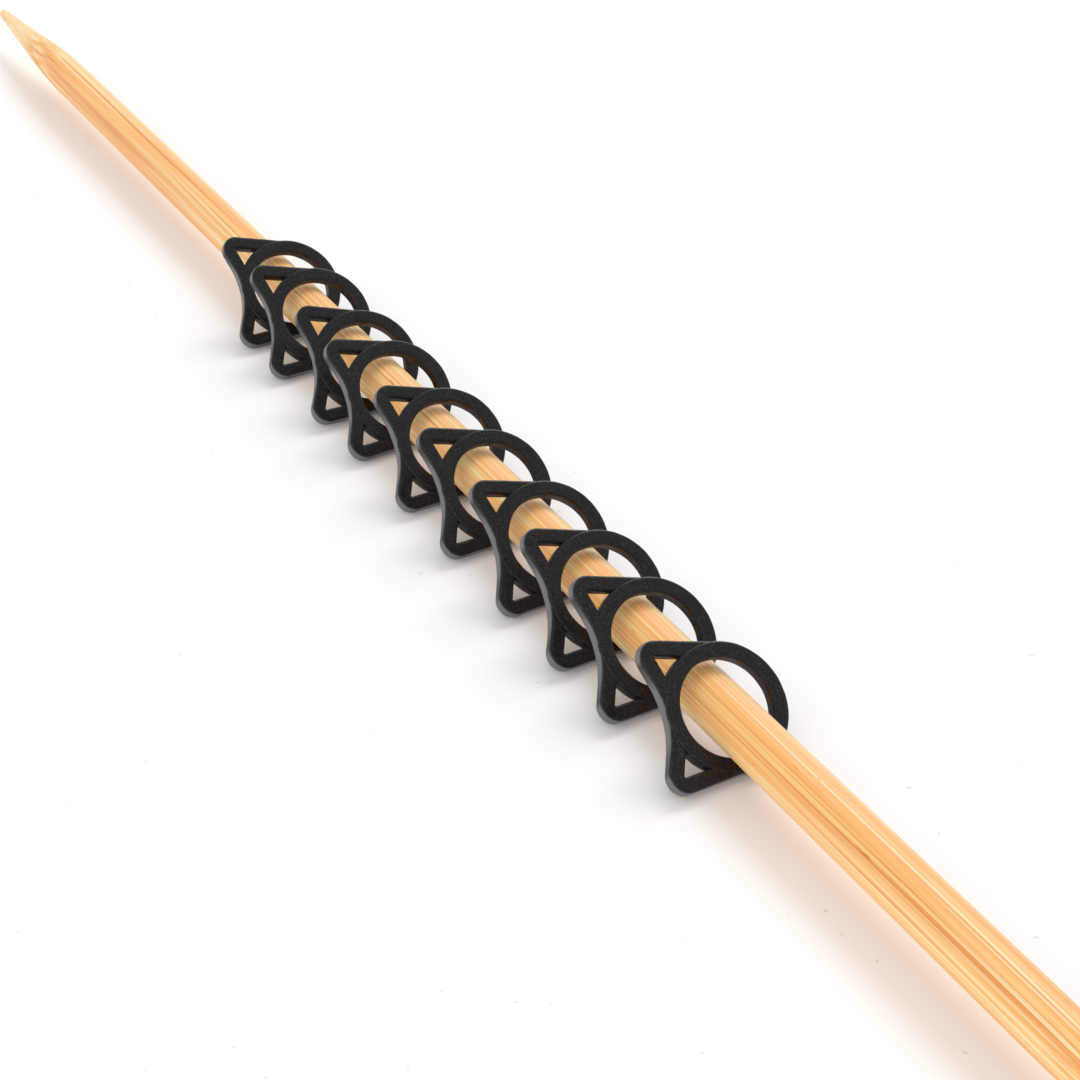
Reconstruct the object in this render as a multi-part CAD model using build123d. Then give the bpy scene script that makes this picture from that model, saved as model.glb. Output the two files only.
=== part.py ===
from build123d import *
from math import acos, atan2, cos, degrees, hypot, pi, radians, sin, sqrt
import os

# A set of ten closed stitch markers, each the outline of a cat's head, threaded on a bamboo
# double-pointed knitting needle. Every marker is one moulding: a ring with two hollow ears.
# The markers lean on the table and the needle rests in them.
# Millimetres. X runs along the needle towards its near tip, Z is up, the table is Z = 0.

# Needle
needle_diameter = 3.5
needle_length = 200.0
point_length = 24.0
point_nose_radius = 0.5
point_shoulder_radius = 150.0

# Marker: ring
bore_diameter = 6.25
band_width = 1.05
thickness = 1.0
front_round = 0.18
back_round = 0.1

# Marker: ears, measured from the middle of the ring. Their face lies a step below the ring's.
ear_tip_spacing = 7.4
ear_tip_height = 3.9
ear_tip_radius = 1.1
saddle_radius = 3.5
saddle_rise = 0.015
ear_step = 0.06
ear_inset = 0.03
cheek_strut = 0.9
crown_strut = 0.78
ear_hole_corner_radius = 0.22

# Fit of the needle in the leaning markers
seat_clearance = 0.04
lean_clearance = 0.18
side_shift = 0.1

# Places on the needle. near_free_length runs from the near tip to the nearest marker.
# Each step to the next marker is a share of the ring's outer diameter, far end first.
near_free_length = 55.0
step_shares = [0.73, 1.05, 0.71, 1.05, 0.86, 0.99, 0.88, 0.79, 1.0]
# How far each marker is turned about the vertical, in degrees, far end first
turn_degrees = [2.5, 3.0, 1.5, 5.0, 3.0, 3.5, 4.0, 3.5, 4.0, 4.5]
# How far each marker's lower ear stands off the table, turned about the ring's own axis
ear_lift_degrees = 1.6
ear_lift_shares = [0.3, 0.2, 1.0, 0, 0.4, 0.3, 0, 0.6, 0.8, 1.0]

# Sizes that follow
needle_radius = needle_diameter / 2
bore_radius = bore_diameter / 2
ring_radius = bore_radius + band_width
ring_diameter = 2 * ring_radius
band_middle = bore_radius + band_width / 2
ear_tip = Vector(ear_tip_spacing / 2, ear_tip_height)
ear_reach = ear_tip.length
ear_angle = atan2(ear_tip.Y, ear_tip.X)

# The cheek line touches the ear's round tip from outside and runs just into the ring's widest part.
cheek_height = ring_radius - ear_inset
cheek_angle = ear_angle - acos((cheek_height - ear_tip_radius) / ear_reach)


def direction(angle):
    """Unit vector at an angle from the X axis."""
    return Vector(cos(angle), sin(angle))


def side_line_normal(from_tip, gap):
    """Angle of the normal of a line that passes a circle's centre, from_tip away, at a given gap."""
    return atan2(from_tip.Y, from_tip.X) - acos(gap / from_tip.length)


# The crown line touches the ear's round tip from above and the saddle between the ears from below.
saddle_height = ring_radius + saddle_rise
saddle_centre = Vector(0, saddle_height + saddle_radius)
crown_angle = side_line_normal(saddle_centre - ear_tip, ear_tip_radius + saddle_radius)
crown_height = ear_tip.dot(direction(crown_angle)) + ear_tip_radius


def ears_outline():
    """Both ears and the saddle between them, filled, with their foot inside the ring's band."""
    cheek_normal, crown_normal = direction(cheek_angle), direction(crown_angle)
    cheek_foot = cheek_normal * band_middle
    cheek_low = cheek_normal * cheek_height
    cheek_high = ear_tip + cheek_normal * ear_tip_radius
    crown_high = ear_tip + crown_normal * ear_tip_radius
    crown_low = saddle_centre - crown_normal * saddle_radius
    tip_top = ear_tip + direction((cheek_angle + crown_angle) / 2) * ear_tip_radius
    right_side = [
        Line(cheek_foot, cheek_low),
        Line(cheek_low, cheek_high),
        ThreePointArc(cheek_high, tip_top, crown_high),
        Line(crown_high, crown_low),
    ]
    left_side = [mirror(edge, Plane.YZ) for edge in right_side]
    saddle = ThreePointArc(crown_low, (0, saddle_height), (-crown_low.X, crown_low.Y))
    foot = ThreePointArc(cheek_foot, (0, band_middle), (-cheek_foot.X, cheek_foot.Y))
    return make_face(Curve() + right_side + left_side + [saddle, foot])


def ear_hole_face():
    """The right ear's opening: struts of steady width outside, its foot inside the ring's band."""
    cheek_offset = cheek_height - cheek_strut
    crown_offset = crown_height - crown_strut
    along_cheek = direction(cheek_angle + pi / 2)
    along_crown = direction(crown_angle - pi / 2)
    cheek_foot = direction(cheek_angle) * cheek_offset
    cheek_foot += along_cheek * sqrt(band_middle**2 - cheek_offset**2)
    crown_foot = direction(crown_angle) * crown_offset
    crown_foot += along_crown * sqrt(band_middle**2 - crown_offset**2)
    spread = sin(crown_angle - cheek_angle)
    tip_corner = (along_cheek * crown_offset + along_crown * cheek_offset) * (1 / spread)
    hole = make_face(Polyline(cheek_foot, tip_corner, crown_foot, (0, 0), cheek_foot))
    return fillet(hole.vertices().sort_by_distance(tip_corner)[0], radius=ear_hole_corner_radius)


def rounded(body, beyond=0):
    """A flat body with its front and back edges rounded, where they reach beyond a radius."""
    for side, radius in ((-1, front_round), (0, back_round)):
        edges = body.faces().sort_by(Axis.Z)[side].edges()
        reaches = [max(hypot(corner.X, corner.Y) for corner in edge.vertices()) for edge in edges]
        body = fillet([edge for edge, reach in zip(edges, reaches) if reach > beyond], radius=radius)
    return body


def marker_body():
    """One marker lying face up, the middle of its bore at the origin."""
    ring = extrude(Circle(ring_radius) - Circle(bore_radius), amount=thickness)
    ear_hole = ear_hole_face()
    ears_face = ears_outline() - ear_hole - mirror(ear_hole, Plane.YZ)
    ears = extrude(ears_face, amount=thickness - ear_step)
    return Pos(0, 0, -thickness / 2) * (rounded(ring) + rounded(ears, beyond=ring_radius))


def needle_body():
    """The needle about the X axis, its middle at the origin, pointed alike at both ends."""
    nose = Vector(point_nose_radius - needle_length / 2, 0)
    shoulder_start = Vector(point_length - needle_length / 2, needle_radius)
    shoulder = shoulder_start - Vector(0, point_shoulder_radius)
    cone_angle = side_line_normal(nose - shoulder, point_shoulder_radius - point_nose_radius)
    cone_low = nose + direction(cone_angle) * point_nose_radius
    cone_high = shoulder + direction(cone_angle) * point_shoulder_radius
    nose_bulge = nose + direction((cone_angle + pi) / 2) * point_nose_radius
    shoulder_bulge = shoulder + direction((cone_angle + pi / 2) / 2) * point_shoulder_radius
    tip = Vector(-needle_length / 2, 0)
    far_half = [
        ThreePointArc(tip, nose_bulge, cone_low),
        Line(cone_low, cone_high),
        ThreePointArc(cone_high, shoulder_bulge, shoulder_start),
        Line(shoulder_start, (0, needle_radius)),
    ]
    near_half = [mirror(edge, Plane.YZ) for edge in far_half]
    profile = make_face(Curve() + far_half + near_half + Line(tip, (-tip.X, 0)))
    return revolve(profile, Axis.X)


# Each marker leans until the bore's upper back edge comes down to the needle that its lower
# front edge carries. The bore's height across the slope, less the thickness across it, is
# what the needle, its clearances and the rounded edges need.
slope_height = bore_diameter + front_round + back_round
slope_depth = thickness - front_round - back_round
needed_height = needle_diameter + seat_clearance + lean_clearance + front_round + back_round
lean = acos(needed_height / sqrt(slope_height**2 + slope_depth**2)) - atan2(slope_depth, slope_height)

# A marker stands on its lower ear tip and the underside of its ring, on its back edge.
marker_height = (
    (ring_radius - back_round) * cos(lean) + (thickness / 2 - back_round) * sin(lean) + back_round
)
needle_height = (
    marker_height
    - (bore_radius + front_round) * cos(lean)
    + (thickness / 2 - front_round) * sin(lean)
    + front_round
    + seat_clearance
    + needle_radius
)
# Turning the head by this much in its own plane lays the ring and the lower ear tip on the table.
standing_turn = ear_angle - acos((ring_radius - ear_tip_radius) / ear_reach) + pi / 2


def marker_place(x, turn, ear_lift):
    """Where a marker stands: over the table at x, leaning back along the needle."""
    across = Vector(-sin(turn), cos(turn), 0)
    facing = Vector(cos(lean) * cos(turn), cos(lean) * sin(turn), sin(lean))
    leaning = Plane(origin=(x, side_shift, marker_height), x_dir=across, z_dir=facing)
    return leaning.location * Rot(0, 0, degrees(standing_turn) - ear_lift)


def marker_stations():
    """Each marker's place along the needle, far end first."""
    stations = [needle_length / 2 - near_free_length]
    for share in reversed(step_shares):
        stations.insert(0, stations[0] - share * ring_diameter)
    return stations


marker = marker_body()
pieces = {"needle": Pos(0, 0, needle_height) * needle_body()}
for number, x in enumerate(marker_stations(), start=1):
    turn, ear_lift = radians(turn_degrees[number - 1]), ear_lift_degrees * ear_lift_shares[number - 1]
    pieces[f"marker_{number:02d}"] = marker_place(x, turn, ear_lift) * marker

# The origin is the middle of the set's footprint on the table.
box = pieces["needle"].bounding_box()
for piece in pieces.values():
    box = box.add(piece.bounding_box())
to_middle = Pos(-(box.min.X + box.max.X) / 2, -(box.min.Y + box.max.Y) / 2, 0)

os.makedirs("parts", exist_ok=True)
for name, piece in pieces.items():
    export_step(to_middle * piece, f"parts/{name}.step")
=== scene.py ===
from math import acos, atan2, cos, pi, radians, sin

import bpy
from mathutils import Matrix, Vector


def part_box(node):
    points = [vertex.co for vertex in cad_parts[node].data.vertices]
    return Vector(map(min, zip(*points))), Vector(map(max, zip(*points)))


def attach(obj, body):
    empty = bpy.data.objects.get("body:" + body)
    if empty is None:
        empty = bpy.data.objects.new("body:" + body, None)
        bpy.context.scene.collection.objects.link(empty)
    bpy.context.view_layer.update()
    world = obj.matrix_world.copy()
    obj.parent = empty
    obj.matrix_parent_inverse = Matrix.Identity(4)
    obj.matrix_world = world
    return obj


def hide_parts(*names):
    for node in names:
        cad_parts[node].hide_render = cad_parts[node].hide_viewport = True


MM = 0.001

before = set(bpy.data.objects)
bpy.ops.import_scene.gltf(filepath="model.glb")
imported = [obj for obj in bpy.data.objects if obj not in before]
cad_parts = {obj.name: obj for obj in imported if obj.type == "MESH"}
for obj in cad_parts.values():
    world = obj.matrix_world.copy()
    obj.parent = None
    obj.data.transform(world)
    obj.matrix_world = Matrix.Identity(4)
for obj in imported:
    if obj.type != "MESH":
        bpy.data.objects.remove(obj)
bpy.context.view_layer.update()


# Needle, with two points alike. Shoulder Run is how far the round shoulder goes before the cone.
needle_low, needle_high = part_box("needle")
needle_centre = (needle_low + needle_high) / 2
needle_sizes = {
    "Length": needle_high.x - needle_low.x,
    "Radius": (needle_high.z - needle_low.z) / 2,
    "Point Length": 24 * MM,
    "Nose Radius": 0.5 * MM,
    "Tip Flat": 0.04 * MM,
    "Shoulder Radius": 150 * MM,
    "Shoulder Run": 10.2 * MM,
    "Groove Depth": 0.012 * MM,
    "Middle X": needle_centre.x,
    "Middle Y": needle_centre.y,
    "Middle Z": needle_centre.z,
}
rings_along_needle = 600
sides_of_needle = 96
needle_grain = (24 * MM, 0.3 * MM, 0.3 * MM)
# Where the wood pales towards the points, from the needle's middle, and how far that is slanted
pale_start, pale_end, pale_slant = 85 * MM, 91 * MM, 1.5

# A marker: its ring, and the bar that forms both ears, which is swept along a line of its own
bore_radius = 3.125 * MM
band_width = 1.05 * MM
thickness = 1.0 * MM
ring_round = 0.18 * MM
ear_tip = Vector((3.7 * MM, 3.9 * MM))
ear_tip_radius = 1.1 * MM
saddle_radius = 7.0 * MM
saddle_rise = 0.015 * MM
ear_inset = 0.03 * MM
ear_bar_width = 1.05 * MM
ear_bar_depth = 0.95 * MM
ear_bar_round = 0.22 * MM
back_gap = 0.004 * MM
unevenness = 0.04 * MM
unevenness_size = 0.8 * MM
unevenness_shift = 20 * MM

# How finely the markers are cut: steps around the ring, along the ears, in a bend and in an edge
ring_steps = 200
ear_steps = 260
bend_steps = 24
edge_steps = 5
section_cuts = 2

# How the markers stand: their lean and the middle of the nearest one, then, far end first, the steps
# between them in ring diameters, each one's turn about the vertical, and how far its lower ear is
# lifted, as a share of the highest lift
lean = radians(46.2)
marker_middle = Vector((45 * MM, needle_centre.y + 0.1 * MM, 3.209 * MM))
ring_radius = bore_radius + band_width
step_shares = [0.73, 1.05, 0.71, 1.05, 0.86, 0.99, 0.88, 0.79, 1.0]
turn_degrees = [2.5, 3.0, 1.5, 5.0, 3.0, 3.5, 4.0, 3.5, 4.0, 4.5]
ear_lift_degrees = 1.6
ear_lift_shares = [0.3, 0.2, 1.0, 0, 0.4, 0.3, 0, 0.6, 0.8, 1.0]

# Camera, as it was fitted to the photograph
camera_azimuth = radians(62.01)
camera_elevation = radians(31.12)
camera_place = Vector((145.27 * MM, needle_centre.y - 65.86 * MM, 87.27 * MM))
picture_side = 1080
focal_length_pixels = 2407.4
sensor_side = 36.0

# Floor and light. Each lamp has its place and diameter in metres and its power in watts.
floor_side = 3.0
world_strength = 0.7
lit_spot = Vector((0.02, 0, 0))
lamps = {"window": ((-0.45, 0.5, 0.65), 0.5, 3.6), "fill": ((0.35, -0.5, 0.35), 0.8, 1.7)}


def linear(hex_colour):
    """sRGB hex to the linear colour that shaders take."""
    def channel(value):
        return value / 12.92 if value <= 0.04045 else ((value + 0.055) / 1.055) ** 2.4
    digits = hex_colour.lstrip("#")
    return tuple(channel(int(digits[i:i + 2], 16) / 255) for i in (0, 2, 4)) + (1.0,)


def add(tree, kind, sources=(), **settings):
    """Adds a node. Settings go to its properties or sockets, sources to its sockets, named or in order.

    A source is a number, a hex colour, a socket, or a node, which stands for its first output.
    """
    node = tree.nodes.new(kind)
    for name, value in settings.items():
        if name in node.bl_rna.properties:
            setattr(node, name, value)
        else:
            node.inputs[name.replace("_", " ")].default_value = value
    named = sources if isinstance(sources, dict) else dict(enumerate(sources))
    for socket, source in named.items():
        if isinstance(source, (int, float)):
            node.inputs[socket].default_value = source
        elif isinstance(source, str):
            node.inputs[socket].default_value = linear(source)
        else:
            tree.links.new(getattr(source, "outputs", [source])[0], node.inputs[socket])
    return node


def new_material(name):
    material = bpy.data.materials.new(name)
    material.use_nodes = True
    material.node_tree.nodes.clear()
    return material, material.node_tree


def pattern_place(tree, sizes):
    """Object coordinates divided by a pattern's real size along X, Y and Z, in millimetres."""
    place = add(tree, "ShaderNodeTexCoord").outputs["Object"]
    return add(tree, "ShaderNodeMapping", {"Vector": place}, Scale=[1 / (size * MM) for size in sizes])


def speckle(tree, sizes, low, high, detail=2.0):
    """A noise of that real size, stretched from low...high to 0...1."""
    noise = add(tree, "ShaderNodeTexNoise", {"Vector": pattern_place(tree, sizes)}, Scale=1.0, Detail=detail)
    ends = {"Value": noise.outputs["Fac"], "From Min": low, "From Max": high}
    return add(tree, "ShaderNodeMapRange", ends, interpolation_type="SMOOTHSTEP")


def tinted(tree, share, amount, below, above):
    """Colour below, where the amount is 0, going to a share of colour above, where it is 1."""
    cover = add(tree, "ShaderNodeMath", (amount, share), operation="MULTIPLY")
    return add(tree, "ShaderNodeMix", {0: cover, 6: below, 7: above}, data_type="RGBA").outputs[2]


def bamboo():
    """Turned bamboo, sanded and waxed: honey wood with cream and tan fibres along the rod, soft sheen."""
    material, tree = new_material("bamboo_waxed")
    bands = speckle(tree, (90, 0.9, 0.9), 0.38, 0.64)
    cream_fibres = speckle(tree, (60, 0.2, 0.2), 0.54, 0.64)
    tan_fibres = speckle(tree, (40, 0.17, 0.17), 0.54, 0.66, 3.0)
    fine_fibres = speckle(tree, (9, 0.07, 0.07), 0.42, 0.62)
    flecks = speckle(tree, (2.2, 0.3, 0.3), 0.71, 0.78)
    colour = tinted(tree, 1.0, bands, "#F8B164", "#FFD088")
    colour = tinted(tree, 0.4, fine_fibres, colour, "#EA9C50")
    colour = tinted(tree, 0.7, tan_fibres, colour, "#DB8235")
    colour = tinted(tree, 0.7, cream_fibres, colour, "#FFEABA")
    colour = tinted(tree, 0.6, flecks, colour, "#A05A24")
    # The points are paler than the shank, and the change runs at a slant.
    place = add(tree, "ShaderNodeTexCoord").outputs["Object"]
    apart = add(tree, "ShaderNodeSeparateXYZ", (place,)).outputs
    along = add(tree, "ShaderNodeMath", (apart["X"],), operation="ABSOLUTE")
    slanted = add(tree, "ShaderNodeMath", (apart["Y"], pale_slant, along), operation="MULTIPLY_ADD")
    ends = {"Value": slanted, "From Min": pale_start, "From Max": pale_end}
    paler = add(tree, "ShaderNodeMapRange", ends, interpolation_type="SMOOTHSTEP")
    colour = tinted(tree, 0.6, paler, colour, "#FFE6B4")
    bump = add(tree, "ShaderNodeBump", {"Height": fine_fibres}, Strength=0.35, Distance=0.02 * MM)
    finish = {
        "Base Color": colour,
        "Roughness": 0.5,
        "Coat Weight": 0.15,
        "Coat Roughness": 0.28,
        "Normal": bump,
    }
    shader = add(tree, "ShaderNodeBsdfPrincipled", finish)
    add(tree, "ShaderNodeOutputMaterial", {"Surface": shader})
    return material


def black_coating():
    """Black coating on a moulded head, satin: wide soft highlights, pale pores and a faint orange peel."""
    material, tree = new_material("satin_black_coating")
    # Real pores and peel are finer than the picture shows, so both are drawn coarser.
    pores = speckle(tree, (0.13, 0.13, 0.13), 0.45, 0.80, 4.0)
    patches = speckle(tree, (0.9, 0.9, 0.9), 0.35, 0.70)
    peel = add(tree, "ShaderNodeTexNoise", {"Vector": pattern_place(tree, (0.16, 0.16, 0.16))}, Scale=1.0)
    colour = tinted(tree, 0.5, patches, "#09080B", "#111013")
    # Painted reflection: the outer walls catch more light than the faces, since they mirror the bright floor
    # at a glancing angle, so they are painted a paler grey.
    reflection_walls = add(tree, "ShaderNodeAttribute", attribute_name="painted_reflection_wall").outputs["Fac"]
    ends = {"Value": reflection_walls, "From Min": 0.55, "From Max": 0.85}
    paler = add(tree, "ShaderNodeMapRange", ends, interpolation_type="SMOOTHSTEP")
    colour = tinted(tree, 0.75, paler, colour, "#77777B")
    colour = tinted(tree, 0.6, pores, colour, "#454347")
    roughness = add(tree, "ShaderNodeMapRange", {"Value": patches, "To Min": 0.34, "To Max": 0.5})
    bump = add(tree, "ShaderNodeBump", {"Height": peel.outputs["Fac"]}, Strength=0.5, Distance=0.03 * MM)
    finish = {
        "Base Color": colour,
        "Roughness": roughness,
        "IOR": 1.45,
        "Specular IOR Level": 0.35,
        "Sheen Weight": 0.05,
        "Sheen Roughness": 0.35,
        "Normal": bump,
    }
    shader = add(tree, "ShaderNodeBsdfPrincipled", finish)
    add(tree, "ShaderNodeOutputMaterial", {"Surface": shader})
    return material


def white_table():
    """Matt white table top with sparse soft grey specks."""
    material, tree = new_material("white_table_top")
    specks = speckle(tree, (0.9, 0.9, 0.9), 0.70, 0.76, 3.0)
    colour = tinted(tree, 0.35, specks, "#FAFAF9", "#A9A7A3")
    shader = add(tree, "ShaderNodeBsdfPrincipled", {"Base Color": colour, "Roughness": 0.6})
    add(tree, "ShaderNodeOutputMaterial", {"Surface": shader})
    return material


def dress(node, material):
    node.data.materials.clear()
    node.data.materials.append(material)


def new_shape_tree(name, sizes):
    """A new Geometry Nodes tree, the sockets of its start mesh and sizes, and its output node."""
    tree = bpy.data.node_groups.new(name, "GeometryNodeTree")
    tree.interface.new_socket("Geometry", in_out="OUTPUT", socket_type="NodeSocketGeometry")
    tree.interface.new_socket("Start", in_out="INPUT", socket_type="NodeSocketGeometry")
    for size_name in sizes:
        tree.interface.new_socket(size_name, in_out="INPUT", socket_type="NodeSocketFloat")
    inputs = tree.nodes.new("NodeGroupInput").outputs
    return tree, inputs, tree.nodes.new("NodeGroupOutput")


def grown(name, tree, sizes, start=None):
    """The mesh that a Geometry Nodes tree makes of a start mesh, as a plain object at the origin."""
    seed = bpy.data.objects.new(name + "_seed", start or bpy.data.meshes.new(name + "_seed"))
    bpy.context.scene.collection.objects.link(seed)
    modifier = seed.modifiers.new("shape", "NODES")
    modifier.node_group = tree
    for item in tree.interface.items_tree:
        if item.in_out == "INPUT" and item.name in sizes:
            modifier[item.identifier] = sizes[item.name]
    bpy.context.view_layer.update()
    evaluated = seed.evaluated_get(bpy.context.evaluated_depsgraph_get())
    mesh = bpy.data.meshes.new_from_object(evaluated)
    mesh.name = name
    bpy.data.objects.remove(seed)
    piece = bpy.data.objects.new(name, mesh)
    bpy.context.scene.collection.objects.link(piece)
    return piece


def radius_along_needle(tree, size, half):
    """The radius by the distance from the nearer tip: shank, round shoulder, straight cone, then nose."""
    where = add(tree, "GeometryNodeInputPosition")
    along = add(tree, "ShaderNodeSeparateXYZ", (where,)).outputs["X"]
    off_middle = add(tree, "ShaderNodeMath", (along,), operation="ABSOLUTE")
    from_tip = add(tree, "ShaderNodeMath", (half, off_middle), operation="SUBTRACT")
    past_shank = add(tree, "ShaderNodeMath", (size["Point Length"], from_tip), operation="SUBTRACT")
    into_point = add(tree, "ShaderNodeMath", (past_shank, 0.0), operation="MAXIMUM")
    on_shoulder = add(tree, "ShaderNodeMath", (into_point, size["Shoulder Run"]), operation="MINIMUM")
    shoulder_square = add(tree, "ShaderNodeMath", (on_shoulder, on_shoulder), operation="MULTIPLY")
    twice_fall = add(tree, "ShaderNodeMath", (shoulder_square, size["Shoulder Radius"]), operation="DIVIDE")
    shoulder_fall = add(tree, "ShaderNodeMath", (twice_fall, 0.5), operation="MULTIPLY")
    shoulder = add(tree, "ShaderNodeMath", (size["Radius"], shoulder_fall), operation="SUBTRACT")
    slope = add(tree, "ShaderNodeMath", (size["Shoulder Run"], size["Shoulder Radius"]), operation="DIVIDE")
    on_cone = add(tree, "ShaderNodeMath", (into_point, on_shoulder), operation="SUBTRACT")
    cone_fall = add(tree, "ShaderNodeMath", (on_cone, slope), operation="MULTIPLY")
    body = add(tree, "ShaderNodeMath", (shoulder, cone_fall), operation="SUBTRACT")
    # The nose is half a ball, which only narrows the rod from the ball's middle to the tip.
    nose_radius = size["Nose Radius"]
    past_nose = add(tree, "ShaderNodeMath", (from_tip, nose_radius), operation="SUBTRACT")
    short_of = add(tree, "ShaderNodeMath", (past_nose, 0.0), operation="MINIMUM")
    short_square = add(tree, "ShaderNodeMath", (short_of, short_of), operation="MULTIPLY")
    ball_square = add(tree, "ShaderNodeMath", (nose_radius, nose_radius), operation="MULTIPLY")
    nose_square = add(tree, "ShaderNodeMath", (ball_square, short_square), operation="SUBTRACT")
    not_negative = add(tree, "ShaderNodeMath", (nose_square, 0.0), operation="MAXIMUM")
    ball = add(tree, "ShaderNodeMath", (not_negative,), operation="SQRT")
    clear_of_ball = add(tree, "ShaderNodeMath", (past_nose, 0.0), operation="GREATER_THAN")
    nose = add(tree, "ShaderNodeMath", (ball, clear_of_ball), operation="ADD")
    narrower = add(tree, "ShaderNodeMath", (body, nose), operation="MINIMUM")
    return add(tree, "ShaderNodeMath", (narrower, size["Tip Flat"]), operation="MAXIMUM")


def needle_tree(material):
    """A straight rod along X, thinned to a point at both ends, with fine grooves along its fibres."""
    tree, size, out = new_shape_tree("pointed_rod", list(needle_sizes))
    half = add(tree, "ShaderNodeMath", (size["Length"], 0.5), operation="MULTIPLY")
    line = add(tree, "GeometryNodeCurvePrimitiveLine")
    rod = add(tree, "GeometryNodeResampleCurve", {"Curve": line}, Count=rings_along_needle)
    # Rings crowd towards both tips, as a sine of the way along.
    share = add(tree, "GeometryNodeSplineParameter").outputs["Factor"]
    from_middle = add(tree, "ShaderNodeMath", (share, 0.5), operation="SUBTRACT")
    angle = add(tree, "ShaderNodeMath", (from_middle, pi), operation="MULTIPLY")
    sine = add(tree, "ShaderNodeMath", (angle,), operation="SINE")
    along = add(tree, "ShaderNodeMath", (sine, half), operation="MULTIPLY")
    spot = add(tree, "ShaderNodeCombineXYZ", {"X": along})
    spaced = add(tree, "GeometryNodeSetPosition", {"Geometry": rod, "Position": spot})
    section = add(tree, "GeometryNodeCurvePrimitiveCircle", Resolution=sides_of_needle, Radius=1.0)
    radius = radius_along_needle(tree, size, half)
    curves = {"Curve": spaced, "Profile Curve": section, "Scale": radius}
    skin = add(tree, "GeometryNodeCurveToMesh", curves, Fill_Caps=True)
    # Grooves only go inwards, so the rod keeps its size.
    place = add(tree, "GeometryNodeInputPosition")
    stretched = add(tree, "ShaderNodeVectorMath", (place,), operation="MULTIPLY")
    stretched.inputs[1].default_value = [1 / length for length in needle_grain]
    grain = add(tree, "ShaderNodeTexNoise", {"Vector": stretched}, Scale=1.0, Detail=2.0)
    groove = add(tree, "ShaderNodeMath", (grain.outputs["Fac"], size["Groove Depth"]), operation="MULTIPLY")
    inward = add(tree, "ShaderNodeMath", (groove, -1.0), operation="MULTIPLY")
    normal = add(tree, "GeometryNodeInputNormal")
    sunk = add(tree, "ShaderNodeVectorMath", {0: normal, "Scale": inward}, operation="SCALE")
    grooved = add(tree, "GeometryNodeSetPosition", {"Geometry": skin, "Offset": sunk})
    smooth = add(tree, "GeometryNodeSetShadeSmooth", {"Geometry": grooved})
    middle = add(tree, "ShaderNodeCombineXYZ", {axis: size["Middle " + axis] for axis in "XYZ"})
    laid = add(tree, "GeometryNodeTransform", {"Geometry": smooth, "Translation": middle})
    whole = add(tree, "GeometryNodeRealizeInstances", {"Geometry": laid})
    dressed = add(tree, "GeometryNodeSetMaterial", {"Geometry": whole}, Material=material)
    tree.links.new(dressed.outputs[0], out.inputs[0])
    return tree


def heading(angle):
    """Unit vector at an angle from the X axis."""
    return Vector((cos(angle), sin(angle)))


def ear_bar_corners():
    """Corners of the line along the middle of the ears' bar, each with the radius that rounds it."""
    half = ear_bar_width / 2
    ear_angle = atan2(ear_tip.y, ear_tip.x)
    cheek_angle = ear_angle - acos((ring_radius - ear_inset - ear_tip_radius) / ear_tip.length)
    to_saddle = Vector((0, ring_radius + saddle_rise + saddle_radius)) - ear_tip
    saddle_angle = atan2(to_saddle.y, to_saddle.x)
    crown_angle = saddle_angle - acos((ear_tip_radius + saddle_radius) / to_saddle.length)
    cheek_reach = ring_radius - ear_inset - half
    crown_reach = ear_tip.dot(heading(crown_angle)) + ear_tip_radius - half
    foot = heading(cheek_angle) * cheek_reach
    tip = heading(cheek_angle + pi / 2) * crown_reach + heading(crown_angle - pi / 2) * cheek_reach
    tip = tip / sin(crown_angle - cheek_angle)
    saddle = Vector((0, crown_reach / sin(crown_angle)))
    right = [(foot, 0), (tip, ear_tip_radius - half), (saddle, saddle_radius + half)]
    left = [(Vector((-spot.x, spot.y)), radius) for spot, radius in reversed(right[:2])]
    return right + left


def ears_line():
    """The corners as a line of edges, which the marker's tree bends and sweeps."""
    corners = ear_bar_corners()
    mesh = bpy.data.meshes.new("ears_line")
    edges = [(number, number + 1) for number in range(len(corners) - 1)]
    mesh.from_pydata([(*spot, 0) for spot, radius in corners], edges, [])
    radii = mesh.attributes.new("corner_radius", "FLOAT", "POINT")
    radii.data.foreach_set("value", [radius for spot, radius in corners])
    return mesh


def swept_bar(tree, path, width, depth, corner):
    """A bar of rounded rectangular section along a flat path."""
    section = add(tree, "GeometryNodeCurvePrimitiveQuadrilateral", {"Width": width, "Height": depth})
    edges = {"Curve": section, "Radius": corner}
    soft = add(tree, "GeometryNodeFilletCurve", edges, mode="POLY", Count=edge_steps)
    dense = add(tree, "GeometryNodeSubdivideCurve", {"Curve": soft}, Cuts=section_cuts)
    upright = add(tree, "GeometryNodeSetCurveNormal", {"Curve": path}, mode="Z_UP")
    curves = {"Curve": upright, "Profile Curve": dense}
    return add(tree, "GeometryNodeCurveToMesh", curves, Fill_Caps=True)


def swept_ring(tree, size):
    """The bar that is the ring, swept round the middle of its band."""
    half_band = add(tree, "ShaderNodeMath", (size["Band Width"], 0.5), operation="MULTIPLY")
    middle = add(tree, "ShaderNodeMath", (half_band, size["Bore Radius"]), operation="ADD")
    circle = add(tree, "GeometryNodeCurvePrimitiveCircle", {"Radius": middle}, Resolution=ring_steps)
    return swept_bar(tree, circle, size["Band Width"], size["Thickness"], size["Ring Round"])


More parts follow.
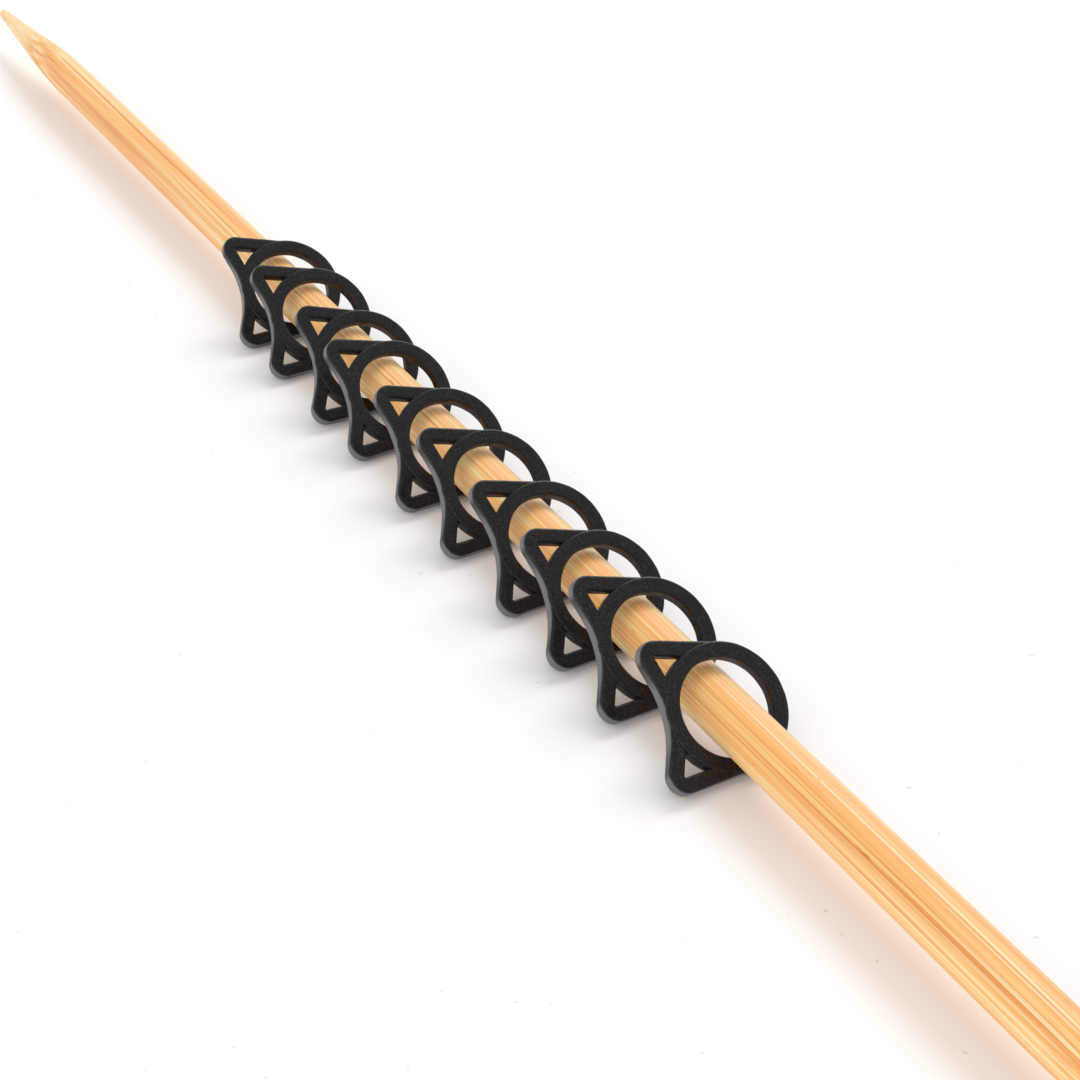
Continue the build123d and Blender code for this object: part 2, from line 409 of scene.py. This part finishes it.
def swept_ears(tree, size):
    """The bar of both ears, set back from the ring's face and just in front of its back."""
    line = add(tree, "GeometryNodeMeshToCurve", {"Mesh": size["Start"]})
    corner = add(tree, "GeometryNodeInputNamedAttribute", Name="corner_radius")
    corners = {"Curve": line, "Radius": corner}
    bent = add(tree, "GeometryNodeFilletCurve", corners, mode="POLY", Count=bend_steps)
    path = add(tree, "GeometryNodeResampleCurve", {"Curve": bent}, Count=ear_steps)
    ears = swept_bar(tree, path, size["Bar Width"], size["Bar Depth"], size["Bar Round"])
    set_back = add(tree, "ShaderNodeMath", (size["Bar Depth"], size["Thickness"]), operation="SUBTRACT")
    lift = add(tree, "ShaderNodeMath", (set_back, 0.5, size["Back Gap"]), operation="MULTIPLY_ADD")
    raised = add(tree, "ShaderNodeCombineXYZ", {"Z": lift})
    return add(tree, "GeometryNodeTransform", {"Geometry": ears, "Translation": raised})


def marker_tree(material):
    """One marker, face up: a swept ring and a swept bar for both ears, unevenly moulded."""
    tree, size, out = new_shape_tree("cat_head_marker", list(marker_sizes(0)))
    # The material reads how squarely a wall faces away from the bore, on the ears and the lower ring, and
    # paints those walls a paler grey as a painted reflection.
    spot = add(tree, "GeometryNodeInputPosition")
    flat = add(tree, "ShaderNodeVectorMath", (spot,), operation="MULTIPLY")
    flat.inputs[1].default_value = (1, 1, 0)
    away = add(tree, "ShaderNodeVectorMath", (flat,), operation="NORMALIZE")
    facing = add(tree, "GeometryNodeInputNormal")
    outward = add(tree, "ShaderNodeVectorMath", (away, facing), operation="DOT_PRODUCT").outputs["Value"]
    height = add(tree, "ShaderNodeSeparateXYZ", (spot,)).outputs["Y"]
    lower = add(tree, "ShaderNodeMath", (height, 0.0), operation="LESS_THAN")
    below_ears = add(tree, "ShaderNodeMath", (outward, lower), operation="MULTIPLY")
    both = add(tree, "GeometryNodeJoinGeometry")
    for bar, share in ((swept_ring(tree, size), below_ears), (swept_ears(tree, size), outward)):
        named = {"Geometry": bar, "Value": share}
        store = add(tree, "GeometryNodeStoreNamedAttribute", named, Name="painted_reflection_wall")
        tree.links.new(store.outputs[0], both.inputs[0])
    # The moulding's surface dips a little here and there, and no two markers are alike.
    seed = add(tree, "ShaderNodeCombineXYZ", {"X": size["Seed Shift"]})
    shifted = add(tree, "ShaderNodeVectorMath", (spot, seed), operation="ADD")
    waves = add(tree, "ShaderNodeTexNoise", {"Vector": shifted}, Scale=1 / unevenness_size, Detail=1.0)
    inward = add(tree, "ShaderNodeMath", (waves.outputs["Fac"], 1.0), operation="SUBTRACT")
    dip = add(tree, "ShaderNodeMath", (inward, size["Unevenness"]), operation="MULTIPLY")
    offset = add(tree, "ShaderNodeVectorMath", {0: facing, "Scale": dip}, operation="SCALE")
    uneven = add(tree, "GeometryNodeSetPosition", {"Geometry": both, "Offset": offset})
    smooth = add(tree, "GeometryNodeSetShadeSmooth", {"Geometry": uneven})
    whole = add(tree, "GeometryNodeRealizeInstances", {"Geometry": smooth})
    dressed = add(tree, "GeometryNodeSetMaterial", {"Geometry": whole}, Material=material)
    tree.links.new(dressed.outputs[0], out.inputs[0])
    return tree


def marker_sizes(number):
    """The sizes of a marker. Its number shifts the unevenness, so that each has its own."""
    return {
        "Bore Radius": bore_radius,
        "Band Width": band_width,
        "Thickness": thickness,
        "Ring Round": ring_round,
        "Bar Width": ear_bar_width,
        "Bar Depth": ear_bar_depth,
        "Bar Round": ear_bar_round,
        "Back Gap": back_gap,
        "Unevenness": unevenness,
        "Seed Shift": number * unevenness_shift,
    }


def marker_place(x, turn, ear_lift):
    """Where a marker stands: leaning back along the needle, on its ring, its lower ear lifted a little."""
    across = Vector((-sin(turn), cos(turn), 0))
    facing = Vector((cos(lean) * cos(turn), cos(lean) * sin(turn), sin(lean)))
    ear_angle = atan2(ear_tip.y, ear_tip.x)
    standing = ear_angle - acos((ring_radius - ear_tip_radius) / ear_tip.length) + pi / 2
    frame_turn = Matrix((across, facing.cross(across), facing)).transposed().to_4x4()
    middle = Vector((x, marker_middle.y, marker_middle.z))
    return Matrix.Translation(middle) @ frame_turn @ Matrix.Rotation(standing - ear_lift, 4, "Z")


wood, coating = bamboo(), black_coating()
for name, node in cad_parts.items():
    dress(node, wood if name == "needle" else coating)

needle = grown("needle_rod", needle_tree(wood), needle_sizes)
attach(needle, "needle")
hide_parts("needle")

heads, line = marker_tree(coating), ears_line()
x = marker_middle.x
for number in range(len(turn_degrees), 0, -1):
    marker = grown(f"marker_head_{number:02d}", heads, marker_sizes(number), line)
    ear_lift = radians(ear_lift_degrees * ear_lift_shares[number - 1])
    marker.data.transform(marker_place(x, radians(turn_degrees[number - 1]), ear_lift))
    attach(marker, f"marker_{number:02d}")
    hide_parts(f"marker_{number:02d}")
    if number > 1:
        x -= step_shares[number - 2] * 2 * ring_radius


def add_floor():
    half = floor_side / 2
    mesh = bpy.data.meshes.new("floor")
    corners = [(-half, -half, 0), (half, -half, 0), (half, half, 0), (-half, half, 0)]
    mesh.from_pydata(corners, [], [(0, 1, 2, 3)])
    floor = bpy.data.objects.new("floor", mesh)
    bpy.context.scene.collection.objects.link(floor)
    dress(floor, white_table())


def add_lamp(name, place, size, power):
    """A round white lamp, turned to the lit spot."""
    data = bpy.data.lights.new(name, "AREA")
    data.shape = "DISK"
    data.size = size
    data.energy = power
    lamp = bpy.data.objects.new(name, data)
    lamp.location = place
    lamp.rotation_mode = "QUATERNION"
    lamp.rotation_quaternion = (lit_spot - Vector(place)).to_track_quat("-Z", "Y")
    bpy.context.scene.collection.objects.link(lamp)


def add_world():
    world = bpy.data.worlds.new("studio")
    world.use_nodes = True
    background = world.node_tree.nodes["Background"]
    background.inputs["Color"].default_value = (1, 1, 1, 1)
    background.inputs["Strength"].default_value = world_strength
    bpy.context.scene.world = world


def add_camera():
    data = bpy.data.cameras.new("camera")
    data.sensor_fit = "HORIZONTAL"
    data.sensor_width = sensor_side
    data.lens = focal_length_pixels / picture_side * sensor_side
    data.clip_start = 10 * MM
    camera = bpy.data.objects.new("camera", data)
    forward = Vector((
        -sin(camera_azimuth) * cos(camera_elevation),
        cos(camera_azimuth) * cos(camera_elevation),
        -sin(camera_elevation),
    ))
    camera.location = camera_place
    camera.rotation_mode = "QUATERNION"
    camera.rotation_quaternion = forward.to_track_quat("-Z", "Y")
    bpy.context.scene.collection.objects.link(camera)
    bpy.context.scene.camera = camera


add_floor()
add_world()
for lamp_name, (place, size, power) in lamps.items():
    add_lamp(lamp_name, place, size, power)
add_camera()
bpy.context.scene.view_settings.view_transform = "Standard"
